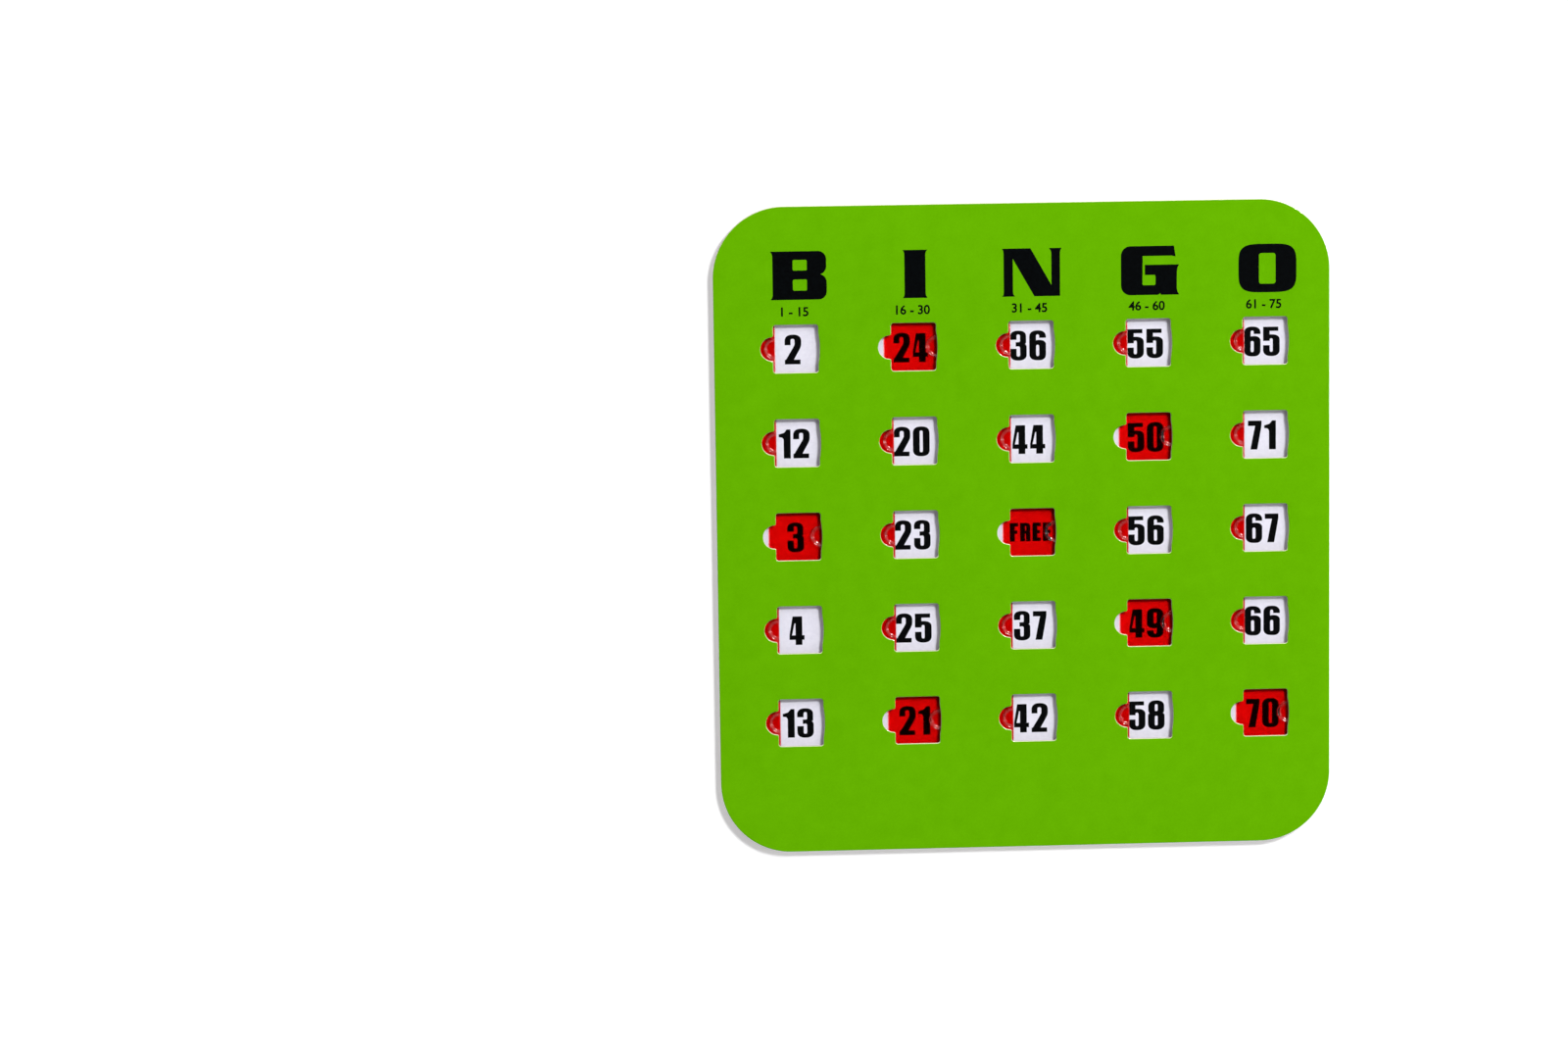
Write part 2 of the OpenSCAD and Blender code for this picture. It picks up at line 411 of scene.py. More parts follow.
def offset(loop, distance):
    """The counter-clockwise loop moved outwards: each point goes along the mean of its two
    sides' normals, lengthened so that the sides keep their distance."""
    after = np.roll(loop, -1, axis=0) - loop
    n = np.column_stack([after[:, 1], -after[:, 0]])
    n /= np.linalg.norm(n, axis=1, keepdims=True)
    mean = n + np.roll(n, 1, axis=0)
    mean /= np.maximum((mean ** 2).sum(1, keepdims=True) / 2, 0.5)
    return loop + distance * mean


def inside(points, loop):
    """True for each point with an odd number of the loop's sides to its right."""
    x, y = points[:, :1], points[:, 1:]
    a, b = loop, np.roll(loop, -1, axis=0)
    spans = (a[:, 1] > y) != (b[:, 1] > y)
    rise = np.where(b[:, 1] == a[:, 1], 1, b[:, 1] - a[:, 1])
    cross = a[:, 0] + (y - a[:, 1]) * (b[:, 0] - a[:, 0]) / rise
    return (spans & (x < cross)).sum(1) % 2 == 1


# %% [markdown]
# ## Meshes from arrays
# A card with 25 windows could be cut from a plain box by booleans. Here its surfaces are
# worked out instead, because each cut edge gets a roll of its own: rings of points are
# joined into strips of quads, flat regions are cut into triangles by a constrained Delaunay
# triangulation, and the pieces of surface are welded into one closed mesh.

# %% Mesh helpers


def triangulate(loops, keep):
    """Cuts the plane along all loops and returns the points and those triangles for whose
    centres keep(centres) is true, counter-clockwise."""
    points = np.vstack(loops)
    starts = np.cumsum([0] + [len(loop) for loop in loops[:-1]])
    edges = []
    for start, loop in zip(starts, loops):
        i = np.arange(len(loop))
        edges.append(start + np.column_stack([i, (i + 1) % len(loop)]))
    edges = np.vstack(edges)
    found = delaunay_2d_cdt([Vector(p) for p in points], edges.tolist(), [], 0, 1e-6)
    flat = np.array([tuple(v) for v in found[0]])
    faces = np.array(found[2])
    a, b, c = flat[faces[:, 0]], flat[faces[:, 1]], flat[faces[:, 2]]
    # Twice the signed area: below 0 the triangle is turned over, at 0 it is left out
    area = (b - a)[:, 0] * (c - a)[:, 1] - (b - a)[:, 1] * (c - a)[:, 0]
    faces[area < 0] = faces[area < 0][:, ::-1]
    good = (np.abs(area) > 1e-9) & keep((a + b + c) / 3)
    return flat, faces[good]


def at_height(flat, z):
    """Points in the plane, lifted to one height."""
    return np.column_stack([flat, np.full(len(flat), float(z))])


def strip(rings):
    """Joins closed rings of as many points each into quads. Rings that climb round a
    counter-clockwise loop give faces that look outwards."""
    n, k = len(rings[0]), len(rings)
    i = np.arange(n)
    j = (i + 1) % n
    quads = [np.column_stack([r * n + i, r * n + j, (r + 1) * n + j, (r + 1) * n + i])
             for r in range(k - 1)]
    return np.vstack(rings), np.vstack(quads)


def make_piece(name, parts, material, body, replaces=(), smooth=True, sharp=40):
    """Welds parts, each (points in mm, faces) with an optional value for each point, into
    one mesh object that rides on a body. The values become the attribute "bare". A smooth
    piece keeps an edge sharp if it turns by more than sharp, in degrees."""
    points, faces, bare_and_highlight, start = [], [], [], 0
    for p, f, *value in parts:
        points.append(p)
        faces.extend([[start + i for i in face] for face in f])
        bare_and_highlight.append(value[0] if value else np.zeros(len(p)))
        start += len(p)
    points, bare_and_highlight = np.vstack(points), np.concatenate(bare_and_highlight)
    # Points that agree to a hundred-thousandth of a mm are one
    key = np.round(points, 5)
    _, first, back = np.unique(key, axis=0, return_index=True, return_inverse=True)
    back = back.ravel()
    welded = []
    for f in faces:
        ids = [int(back[i]) for i in f]
        ids = [v for k, v in enumerate(ids) if v != ids[k - 1]]
        if len(ids) > 2:
            welded.append(ids)
    mesh = bpy.data.meshes.new(name)
    mesh.from_pydata((points[first] * MM).tolist(), [], welded)
    if bare_and_highlight.any():
        mesh.attributes.new("bare_and_highlight", "FLOAT", "POINT").data.foreach_set("value", bare_and_highlight[first])
    mesh.validate()
    mesh.materials.append(material)
    if smooth:
        mesh.shade_smooth()
        mesh.set_sharp_from_angle(angle=math.radians(sharp))
    piece = bpy.data.objects.new(name, mesh)
    bpy.context.scene.collection.objects.link(piece)
    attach(piece, body)
    if replaces:
        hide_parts(*replaces)
    return piece


# %% [markdown]
# ## The layers of the card
# A cutting die crushes what it cuts. The top edge of each layer rolls down towards every cut,
# and the film's gloss and a pale band at the foot of the roll make the line round each window.
# The pale band is paper where the die tore the print off, and also a painted highlight: it is
# wider on rolls that face up the card, towards the key lamp, so those lines are brighter. A
# layer is a flat face with one roll strip for every cut edge, an upright wall, a smaller roll
# under it and a flat under side. The roll's section is a quarter ellipse: its run is measured
# across the card and its drop down from the face. A Bevel modifier could roll the edges too,
# but couldn't mark how far the die tore the print off, nor that painted highlight.

# %% Layer builder
ROLL_STEPS = 6
# On the face, the pale band is widest on rolls that face up the card, towards the key lamp: a
# painted highlight over the paper that the die uncovers. Share of the full band on the other
# sides
LEAST_TEAR_AND_HIGHLIGHT = 0.55


def roll_rings(loop, sign, z, run, drop):
    """Rings from the wall up to the flat: at angle t from 0 to 90 degrees a ring lies
    run * (1 - cos t) inside the material and drop * (1 - sin t) off the flat."""
    rings = []
    for t in np.linspace(0, math.pi / 2, ROLL_STEPS + 1):
        rings.append(at_height(offset(loop, sign * run * (1 - math.cos(t))),
                               z - drop * (1 - math.sin(t))))
    return rings


def layer(name, z0, z1, outer, holes, top, bottom, material):
    """Closed plate between z0 and z1 with holes. top and bottom are the (run, drop) of the
    rolls, and the material lies inside outer and outside every hole. Each point gets a value
    from its place on the roll, 1 at the foot and 0 at the flat, times its side's share: where
    the die tore the print off, with a painted highlight that is wider on rolls facing up the
    card."""
    parts = []
    for loop, sign in [(outer, -1)] + [(h, 1) for h in holes]:
        up = roll_rings(loop, sign, z1, *top)
        down = [r * [1, 1, -1] for r in roll_rings(loop, sign, -z0, *bottom)][::-1]
        steps = np.linspace(1, 0, ROLL_STEPS + 1)
        rings, bare_and_highlight = down + up, np.concatenate([np.ones(ROLL_STEPS + 1), steps])
        if sign > 0:
            rings, bare_and_highlight = rings[::-1], bare_and_highlight[::-1]
        # Painted highlight: rolls that face up the card, towards the key lamp, get the whole
        # pale band, the others only a share of it
        faces_up = np.clip(-sign * (offset(loop, 1.0) - loop)[:, 1], 0, 1)
        tear_and_highlight = LEAST_TEAR_AND_HIGHLIGHT + (1 - LEAST_TEAR_AND_HIGHLIGHT) * faces_up
        parts.append((*strip(rings), np.outer(bare_and_highlight, tear_and_highlight).ravel()))
    for z, (run, _), turn in ((z1, top, 1), (z0, bottom, -1)):
        rim = offset(outer, -run)
        cuts = [offset(h, run) for h in holes]

        def solid(c):
            ok = inside(c, rim)
            for cut in cuts:
                low, high = cut.min(0), cut.max(0)
                close = ((c > low) & (c < high)).all(1)
                ok[close] &= ~inside(c[close], cut)
            return ok

        flat, faces = triangulate([rim] + cuts, solid)
        parts.append((at_height(flat, z), faces[:, ::turn]))
    return make_piece(name + "_layer", parts, material, "card", [name])


# %% [markdown]
# All six layers have one outline, because the die cuts the finished card at one blow. The
# face sheet and the board under it have the windows, the next board has the channels, and
# the rest are whole. The film rolls furthest, and paper hardly rolls at all.

# %% Build the six layers
outline = round_box(card_low[0], card_high[0], card_low[1], card_high[1], corner_r, 40)
window = window_outline()
cuts = [window + middle for middle in windows.values()]
shutter_low, shutter_high = box_mm("shutter_b1")
plate_l, plate_w = (shutter_high - shutter_low)[:2]
channel_right = window_w / 2 + cover_right + end_gap
channel_left = channel_right - plate_l - travel - 2 * end_gap
channel_half = plate_w / 2 + side_gap
channel = round_box(channel_left, channel_right, -channel_half, channel_half, channel_r, 6)
channels = [channel + middle for middle in windows.values()]
# Runs and drops of the rolled edges, in mm
FILM_ROLL, BOARD_ROLL, PAPER_ROLL = (0.38, 0.14), (0.1, 0.08), (0.03, 0.02)
layer_plan = [
    ("face_sheet", cuts, FILM_ROLL, (0.0, 0.0), face_print, "face_print"),
    ("face_board", cuts, BOARD_ROLL, BOARD_ROLL, board, "board"),
    ("channel_board", channels, BOARD_ROLL, BOARD_ROLL, board, "board"),
    ("number_sheet", [], PAPER_ROLL, PAPER_ROLL, number_paper, "number_paper"),
    ("back_board", [], BOARD_ROLL, BOARD_ROLL, board, "board"),
    ("back_sheet", [], PAPER_ROLL, PAPER_ROLL, back_paper, "back_paper"),
]
for node, holes, top, bottom, material, slot in layer_plan:
    low, high = box_mm(node)
    piece = layer(node, low[2], high[2], outline, holes, top, bottom, material)
    print(piece.name, len(piece.data.polygons), "faces")

# %% [markdown]
# ## Letters and numbers as shapes
# Heavy condensed numerals are round boxes with slots cut out of them, so a glyph is a list
# of shapes that are painted on or cut away in turn. The plane is cut along all their
# outlines, and a triangle belongs to the glyph if the last shape that covers its centre
# was painted. The corners of the round boxes are quarter superellipses, which are fuller
# than quarter circles. A font would be quicker, but the one that comes with Blender is far
# too light for these.

# %% Glyph shapes


def lobe(x0, x1, y0, y1, top, bottom=None, power=2.4, steps=10):
    """Round box whose corners are quarter superellipses: half the box wide, and as high as
    top or bottom says. On each, |x/a|^power + |y/b|^power = 1."""
    bottom = top if bottom is None else bottom
    t = np.linspace(0, math.pi / 2, steps + 1)
    c, s = np.cos(t) ** (2 / power), np.sin(t) ** (2 / power)
    mid, a = (x0 + x1) / 2, (x1 - x0) / 2
    corners = [(mid + a * c, y1 - top + top * s), (mid - a * c[::-1], y1 - top + top * s[::-1]),
               (mid - a * c, y0 + bottom - bottom * s),
               (mid + a * c[::-1], y0 + bottom - bottom * s[::-1])]
    return without_doubles(np.vstack([np.column_stack(q) for q in corners]))


def bar(x0, x1, y0, y1):
    """Plain box."""
    return np.array([(x0, y0), (x1, y0), (x1, y1), (x0, y1)], float)


def slit(x0, x1, y0, y1):
    """Upright slot with half-round ends."""
    return round_box(x0, x1, y0, y1, (x1 - x0) / 2 - 0.001, 8)


def shape(*points):
    """Polygon from its corners."""
    return np.array(points, float)


def turned(ops, w, h):
    """The glyph turned by half a circle inside its box of w by h."""
    return [(paint, np.array([w, h]) - loop) for paint, loop in ops]


PAINT, CUT = True, False
# Each numeral in mm from its lower left corner: width, then the shapes in order
SIX = [(PAINT, lobe(0, 4.8, 0, 8.6, 1.9)), (CUT, slit(1.95, 2.85, 5.1, 7.45)),
       (CUT, bar(2.4, 5, 4.9, 6.45)), (PAINT, lobe(0.9, 4.8, 0, 5.85, 1.5, 1.9)),
       (CUT, slit(1.95, 2.85, 1.2, 4.45))]
NUMERALS = {
    "0": (4.8, [(PAINT, lobe(0, 4.8, 0, 8.6, 1.9)), (CUT, slit(1.95, 2.85, 1.15, 7.45))]),
    "1": (3.4, [(PAINT, shape((1.4, 0.1), (3.4, 0.1), (3.4, 8.45), (2.3, 8.45), (1.55, 7.5),
                              (0, 7.05), (0, 6.25), (0.95, 6.15), (1.4, 5.6)))]),
    "2": (4.75, [(PAINT, lobe(0, 4.75, 3.2, 8.6, 1.9)), (CUT, bar(-1, 2.85, 2, 5.6)),
                 (CUT, bar(2.8, 5, 2, 5.7)), (CUT, lobe(1.7, 2.85, 4, 7.4, 0.55)),
                 (PAINT, shape((4.73, 5.75), (4.66, 5.2), (4.3, 4.4), (2.55, 1.3), (0, 0.1),
                               (0, 0.9), (2.25, 4.6), (2.7, 5.4), (2.85, 5.75))),
                 (PAINT, bar(0, 4.5, 0.1, 1.42))]),
    "3": (4.75, [(PAINT, lobe(0, 4.6, 4.55, 8.6, 1.7, 0.7)),
                 (PAINT, lobe(0, 4.75, 0, 5.2, 1.4, 1.8)),
                 (CUT, lobe(1.85, 2.85, 5.3, 7.5, 0.5, 0.3)),
                 (CUT, lobe(1.85, 2.85, 1.15, 4.1, 0.6, 0.5)),
                 (CUT, bar(-1, 1.6, 3.4, 6.0)), (CUT, bar(1.5, 2.1, 5.3, 6.0)),
                 (CUT, bar(1.5, 2.1, 3.4, 4.05))]),
    "4": (4.35, [(PAINT, shape((0, 1.6), (0, 3.0), (0.95, 8.4), (3.7, 8.4), (3.7, 2.9),
                               (4.35, 2.9), (4.35, 1.6), (3.7, 1.6), (3.7, 0.1), (1.75, 0.1),
                               (1.75, 1.6))),
                 (CUT, shape((0.72, 2.9), (1.75, 2.9), (1.75, 6.35), (1.5, 6.35)))]),
    "5": (4.8, [(PAINT, lobe(0, 4.8, 0, 6.25, 1.6, 1.9)), (CUT, slit(1.9, 2.8, 1.2, 5.15)),
                (CUT, bar(-1, 2.0, 3.15, 4.4)), (CUT, bar(-1, 0.5, 4.4, 6.3)),
                (PAINT, bar(0, 1.9, 4.4, 8.45)), (PAINT, bar(0, 4.4, 7.25, 8.45))]),
    "6": (4.8, SIX),
    "7": (3.95, [(PAINT, shape((0, 6.95), (2.1, 6.95), (1.85, 5.9), (1.4, 3.7), (0.7, 0.1),
                               (2.7, 0.1), (3.35, 3.6), (3.8, 6.2), (3.95, 7.3), (3.95, 8.45),
                               (0, 8.45)))]),
    "8": (4.85, [(PAINT, lobe(0.1, 4.75, 4.5, 8.65, 1.8, 1.2)),
                 (PAINT, lobe(0, 4.85, 0, 5.35, 1.3, 1.9)),
                 (CUT, slit(2.0, 2.85, 5.45, 7.55)), (CUT, slit(2.0, 2.85, 1.25, 4.15))]),
    "9": (4.8, turned(SIX, 4.8, 8.6)),
}
# The capitals of the middle window's word, set smaller than the numerals
E_SHAPE = shape((0, 0), (2.2, 0), (2.2, 1.0), (1.3, 1.0), (1.3, 2.05), (2.0, 2.05), (2.0, 2.95),
                (1.3, 2.95), (1.3, 4.0), (2.2, 4.0), (2.2, 4.95), (0, 4.95))
SMALL_CAPITALS = {
    "F": (2.2, [(PAINT, E_SHAPE), (CUT, bar(1.3, 3, -1, 1.1))]),
    "R": (2.75, [(PAINT, bar(0, 1.3, 0, 4.95)), (PAINT, lobe(-0.4, 2.7, 1.9, 4.95, 0.9, 0.9)),
                 (CUT, bar(-1, 0, 0, 5)), (CUT, lobe(1.3, 1.62, 2.85, 4.15, 0.15)),
                 (PAINT, bar(1.55, 2.72, 0, 2.4)), (CUT, bar(1.3, 1.55, -1, 2.05))]),
    "E": (2.2, [(PAINT, E_SHAPE)]),
}
print("glyphs drawn:", " ".join([*NUMERALS, *SMALL_CAPITALS]))

# %% [markdown]
# The five heading letters are wide and heavy, with short flared serifs. The flares are two
# straight cuts each, which is as much as print of this size shows.

# %% Heading letters


def heavy_box(x0, x1, y0, y1, r, left=True, right=True):
    """Box with round corners on the sides that are asked for."""
    parts = [round_box(x0, x1, y0, y1, r)]
    if not left:
        parts.append(bar(x0, x0 + r, y0, y1))
    if not right:
        parts.append(bar(x1 - r, x1, y0, y1))
    return [(PAINT, p) for p in parts]


def counter(x0, x1, y0, y1, r=0.4):
    """Square opening with slightly round corners."""
    return (CUT, round_box(x0, x1, y0, y1, r, 4))


HEADING = {
    "B": (16.4, heavy_box(0.6, 16.3, 7.25, 14.1, 2.4, left=False)
          + heavy_box(0.6, 16.4, 0, 7.4, 2.4, left=False)
          + [counter(6.5, 10.65, 8.5, 11.6), counter(6.5, 10.65, 2.65, 5.9),
             (PAINT, shape((0, 0), (1.5, 0), (1.5, 1.6), (0.6, 1.3), (0.4, 0.6))),
             (PAINT, shape((0, 14.1), (0.4, 13.5), (0.6, 12.8), (1.5, 12.4), (1.5, 14.1)))]),
    "I": (7.2, [(PAINT, shape((0, 0), (7.2, 0), (6.8, 0.6), (6.65, 1.3), (6.65, 12.7),
                              (6.8, 13.4), (7.2, 14.0), (0, 14.0), (0.4, 13.4), (0.5, 12.7),
                              (0.5, 1.3), (0.4, 0.6)))]),
    "N": (17.6, [(PAINT, shape((0, 0), (3.8, 0), (3.4, 0.5), (3.2, 1.2), (3.2, 11.0),
                               (9.45, 0), (17.0, 0), (17.05, 12.6), (17.2, 13.4), (17.6, 14.0),
                               (13.85, 14.0), (14.3, 13.3), (14.5, 12.6), (14.5, 3.2),
                               (8.4, 14.0), (0, 14.0), (0.4, 13.4), (0.5, 12.7), (0.5, 1.2),
                               (0.4, 0.5)))]),
    "G": (17.1, heavy_box(0, 16.4, 0, 14.3, 2.8, right=False)
          + [(CUT, shape((6.4, 11.4), (15.0, 11.4), (16.1, 11.1), (17.6, 11.0), (17.6, 14.7),
                         (15.6, 14.7), (15.6, 14.3), (18, 14.3), (18, 8.8), (6.4, 8.8))),
             (CUT, bar(15.6, 18, 8.8, 14.7)),
             (PAINT, shape((14.5, 11.6), (16.1, 11.15), (15.6, 14.3), (14.5, 14.3))),
             counter(6.3, 10.15, 2.85, 5.85), (CUT, bar(6.35, 7.0, 4.0, 9.0)),
             (PAINT, shape((16.0, 8.8), (17.1, 8.8), (16.65, 7.9), (16.45, 6.6), (16.4, 2.0),
                           (16.55, 1.0), (17.1, 0), (16.0, 0))),
             (CUT, shape((10.7, -0.2), (11.9, -0.2), (11.5, 0.45)))]),
    "O": (17.1, [(PAINT, lobe(0, 17.1, 0, 14.2, 7.09, power=4.2, steps=16)),
                 counter(6.05, 10.95, 2.5, 11.5, 0.7)]),
}
print("heading letters:", {letter: width for letter, (width, _) in HEADING.items()}, "mm wide")

# %% [markdown]
# ## Printing them
# A printed glyph becomes a film of ink a hundredth of a millimetre thick: its triangles on
# top, the same below, and a wall along every side that only one triangle has. As a film it
# rides on the card and shows from every side, and needs no picture laid over the paper.

# %% Ink film


def covered(points, ops):
    """Whether the last shape that covers each point was painted."""
    state = np.zeros(len(points), bool)
    for paint, loop in ops:
        state[inside(points, loop)] = paint
    return state


def ink_film(ops, z, thickness):
    """Closed film over a painted region, as one part of a mesh."""
    flat, faces = triangulate([loop for _, loop in ops], lambda c: covered(c, ops))
    used, faces = np.unique(faces, return_inverse=True)
    flat, faces = flat[used], faces.reshape(-1, 3)
    sides = np.vstack([faces[:, [0, 1]], faces[:, [1, 2]], faces[:, [2, 0]]])
    count = len(flat)
    code = sides[:, 0] * count + sides[:, 1]
    rim = sides[~np.isin(code, sides[:, 1] * count + sides[:, 0])]
    walls = np.column_stack([rim[:, 0], rim[:, 0] + count, rim[:, 1] + count, rim[:, 1]])
    points = np.vstack([at_height(flat, z + thickness), at_height(flat, z)])
    return points, faces.tolist() + (faces[:, ::-1] + count).tolist() + walls[:, ::-1].tolist()


def set_line(text, alphabet, gap, centre, low_y, size=1.0):
    """Shapes of a line of text, set with gap between glyphs and centred at centre."""
    width = sum(alphabet[c][0] for c in text) * size + gap * (len(text) - 1)
    x, line = centre - width / 2, []
    for c in text:
        w, ops = alphabet[c]
        line.append([(paint, loop * size + np.array([x, low_y])) for paint, loop in ops])
        x += w * size + gap
    return line


def print_line(name, line, z, thickness, material):
    """Prints glyphs side by side as one piece on the card."""
    parts = [ink_film(ops, z, thickness) for ops in line]
    return make_piece(name, parts, material, "card", smooth=False)


# %% [markdown]
# The numbers lie on the sheet under the channels, a little left of the windows' middles, as
# on the real card. So the tab of a closed shutter covers as little of them as it can.

# %% Numbers under the windows
NUMBERS = {"b": ("2", "12", "3", "4", "13"), "i": ("24", "20", "23", "25", "21"),
           "n": ("36", "44", "FREE", "37", "42"), "g": ("55", "50", "56", "49", "58"),
           "o": ("65", "71", "67", "66", "70")}
# Thickness of the ink in mm
INK = 0.012
# Place of a line's middle and lower edge from its window's middle, gap between glyphs, all
# in mm, and how much larger than drawn the glyphs are set
NUMBER_X, NUMBER_Y, NUMBER_GAP, NUMBER_SIZE = -0.76, -4.7, 0.78, 1.02
WORD_X, WORD_Y, WORD_GAP, WORD_SIZE = -0.5, -2.85, 0.6, 1.11
for column, texts in NUMBERS.items():
    for row, text in zip(ROWS, texts):
        x, y = windows[f"{column}{row}"]
        if text.isdigit():
            line = set_line(text, NUMERALS, NUMBER_GAP, x + NUMBER_X, y + NUMBER_Y,
                            NUMBER_SIZE)
        else:
            line = set_line(text, SMALL_CAPITALS, WORD_GAP, x + WORD_X, y + WORD_Y,
                            WORD_SIZE)
        print_line(f"number_{column}{row}", line, paper_z, INK, number_ink)
print("printed", len(windows), "numbers")

# %% [markdown]
# The heading letters lie on the face. Each is placed from the first window under it.

# %% Heading letters over the columns
# Each letter's middle and foot in mm from the middle of the first window under it. They
# vary by less than a millimetre, as on the real card.
LETTER_X = {"B": 1.1, "I": 0.65, "N": 0.4, "G": 0.6, "O": 0.7}
LETTER_Y = {"B": 14.3, "I": 14.25, "N": 14.15, "G": 13.95, "O": 14.15}
for letter, column in zip("BINGO", COLUMNS):
    x, y = windows[f"{column}1"]
    line = set_line(letter, HEADING, 0, x + LETTER_X[letter], y + LETTER_Y[letter])
    print_line(f"heading_{column}", line, face_z, INK, heading_ink)
print("printed", len(LETTER_X), "heading letters")

# %% [markdown]
# Under each letter stands the span of its column's numbers, in light small figures. The
# font that comes with Blender is close enough to plain sans figures of this size.

# %% Small figures
# Size of the figures, their place from the first window's middle, and how much the font's
# outline grows, all in mm
SPAN_SIZE, SPAN_X, SPAN_Y, SPAN_BOLD = 3.7, -0.4, 9.55, 0.08
for k, column in enumerate(COLUMNS):
    text = bpy.data.curves.new(f"span_{column}", "FONT")
    text.body = f"{15 * k + 1} - {15 * k + 15}"
    text.size = SPAN_SIZE * MM
    text.extrude = INK / 2 * MM
    text.offset = SPAN_BOLD * MM
    text.align_x = "CENTER"
    text.resolution_u = 6
    holder = bpy.data.objects.new("holder", text)
    bpy.context.scene.collection.objects.link(holder)
    bpy.context.view_layer.update()
    mesh = bpy.data.meshes.new_from_object(holder)
    bpy.data.objects.remove(holder)
    co = np.zeros(len(mesh.vertices) * 3)
    mesh.vertices.foreach_get("co", co)
    x, y = windows[f"{column}1"]
    co = co.reshape(-1, 3) + np.array([x + SPAN_X, y + SPAN_Y, face_z + INK / 2]) * MM
    mesh.vertices.foreach_set("co", co.ravel())
    mesh.materials.clear()
    mesh.materials.append(heading_ink)
    piece = bpy.data.objects.new(f"span_{column}", mesh)
    bpy.context.scene.collection.objects.link(piece)
    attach(piece, "card")
    print(piece.name, "reads", text.body)

# %% [markdown]
# ## The shutters
# A shutter is one thin moulding: a plate whose two ends are bevelled so that it slides
# under the board, and a half-moon tab with a rounded rim round a dished middle. The plate
# is made from rings round its outline, whose bevel grows with how squarely the outline
# faces left or right. The tab is its own section carried round half a circle. The two are
# joined by an exact boolean, because clear plastic with a wall inside it would show that
# wall. All 25 come from one mould, so the shape is worked out once and set at each place.

# %% Plate
# Corner radius and thickness of the plate, and the small round of its edges, in mm
PLATE_R, PLATE_T, EDGE_ROUND = 0.6, 0.35, 0.06
# How far the bevel of an end runs in and drops, in mm, and how hollow it is
BEVEL_RUN, BEVEL_DROP, BEVEL_POWER = 0.45, 0.12, 3.0


def plate_parts():
    """Closed plate with its right end at x = 0. With f the fourth power of the outline's
    normal along x, its top edge runs in by round + f * (bevel - round), and drops
    likewise. Each bevel's height follows 1 - (1 - t)^power."""
    loop = round_box(-plate_l, 0, -plate_w / 2, plate_w / 2, PLATE_R, 6)
    after = np.roll(loop, -1, axis=0) - np.roll(loop, 1, axis=0)
    f = (after[:, 1] / np.linalg.norm(after, axis=1)) ** 4
    run = EDGE_ROUND + f * (BEVEL_RUN - EDGE_ROUND)
    drop = EDGE_ROUND + f * (BEVEL_DROP - EDGE_ROUND)
    out = offset(loop, 1.0) - loop
    rings = []
    for t in np.radians(np.linspace(90, 0, 4)):
        low = np.full(len(loop), EDGE_ROUND * (1 - math.sin(t)))
        rings.append(np.column_stack([loop - out * EDGE_ROUND * (1 - math.cos(t)), low]))
    for t in np.linspace(0, 1, 7):
        rise = PLATE_T - drop * (1 - t) ** BEVEL_POWER
        rings.append(np.column_stack([loop - out * (run * t)[:, None], rise]))
    under, top = rings[0][:, :2], rings[-1][:, :2]
    flat, faces = triangulate([under], lambda c: inside(c, under))
    lid, lid_faces = triangulate([top], lambda c: inside(c, top))
    return [strip(rings), (at_height(flat, 0), faces[:, ::-1]),
            (at_height(lid, PLATE_T), lid_faces)]


# %% Tab
# Radius, distance of the straight side from the plate's end, and height over the plate
TAB_R, TAB_BACK, TAB_H = 3.25, 0.2, 0.775
# The tab's section from its edge to its middle: shares of the radius and of the height
SECTION = [(1.0, -0.2), (1.0, 0.15), (0.995, 0.45), (0.985, 0.72), (0.97, 0.88),
           (0.95, 0.97), (0.925, 1.0), (0.9, 0.985), (0.87, 0.92), (0.83, 0.8),
           (0.79, 0.64), (0.75, 0.48), (0.71, 0.34), (0.67, 0.24), (0.62, 0.18),
           (0.55, 0.16), (0.3, 0.155), (0.0, 0.15)]


def tab_parts(turns=48):
    """Closed tab: its section turned round half a circle, a bottom that lies inside the
    plate, and the flat straight side."""
    radii = np.array([r for r, _ in SECTION]) * TAB_R
    heights = PLATE_T + np.array([h for _, h in SECTION]) * TAB_H
    angles = np.radians(np.linspace(90, 270, turns + 1))
    x = np.outer(np.cos(angles), radii) - TAB_BACK
    y = np.outer(np.sin(angles), radii)
    grid = np.stack([x, y, np.broadcast_to(heights, x.shape)], -1)
    rows, columns = x.shape
    i, j = np.meshgrid(np.arange(rows - 1), np.arange(columns - 1), indexing="ij")
    first = (i * columns + j).ravel()
    skin = np.column_stack([first, first + columns, first + columns + 1, first + 1])
    foot = grid[:, 0][::-1]
    side = np.vstack([grid[0], grid[-1][::-1][1:]])
    return [(grid.reshape(-1, 3), skin), (foot, [list(range(len(foot)))]),
            (side, [list(range(len(side)))])]


# %% Join the two and mould one shutter for each window


def joined(first_parts, second_parts):
    """Exact union of two closed shapes, as points in mm and faces."""
    pair = [make_piece(f"mould_{k}", parts, red_plastic, "card")
            for k, parts in enumerate((first_parts, second_parts))]
    for piece in pair:
        bm = bmesh.new()
        bm.from_mesh(piece.data)
        bmesh.ops.recalc_face_normals(bm, faces=bm.faces)
        bm.to_mesh(piece.data)
        bm.free()
    union = pair[0].modifiers.new("union", "BOOLEAN")
    union.operation, union.solver, union.object = "UNION", "EXACT", pair[1]
    result = pair[0].evaluated_get(bpy.context.evaluated_depsgraph_get()).to_mesh()
    points = np.array([tuple(v.co) for v in result.vertices]) / MM
    faces = [list(face.vertices) for face in result.polygons]
    for piece in pair:
        bpy.data.objects.remove(piece)
    return points, faces


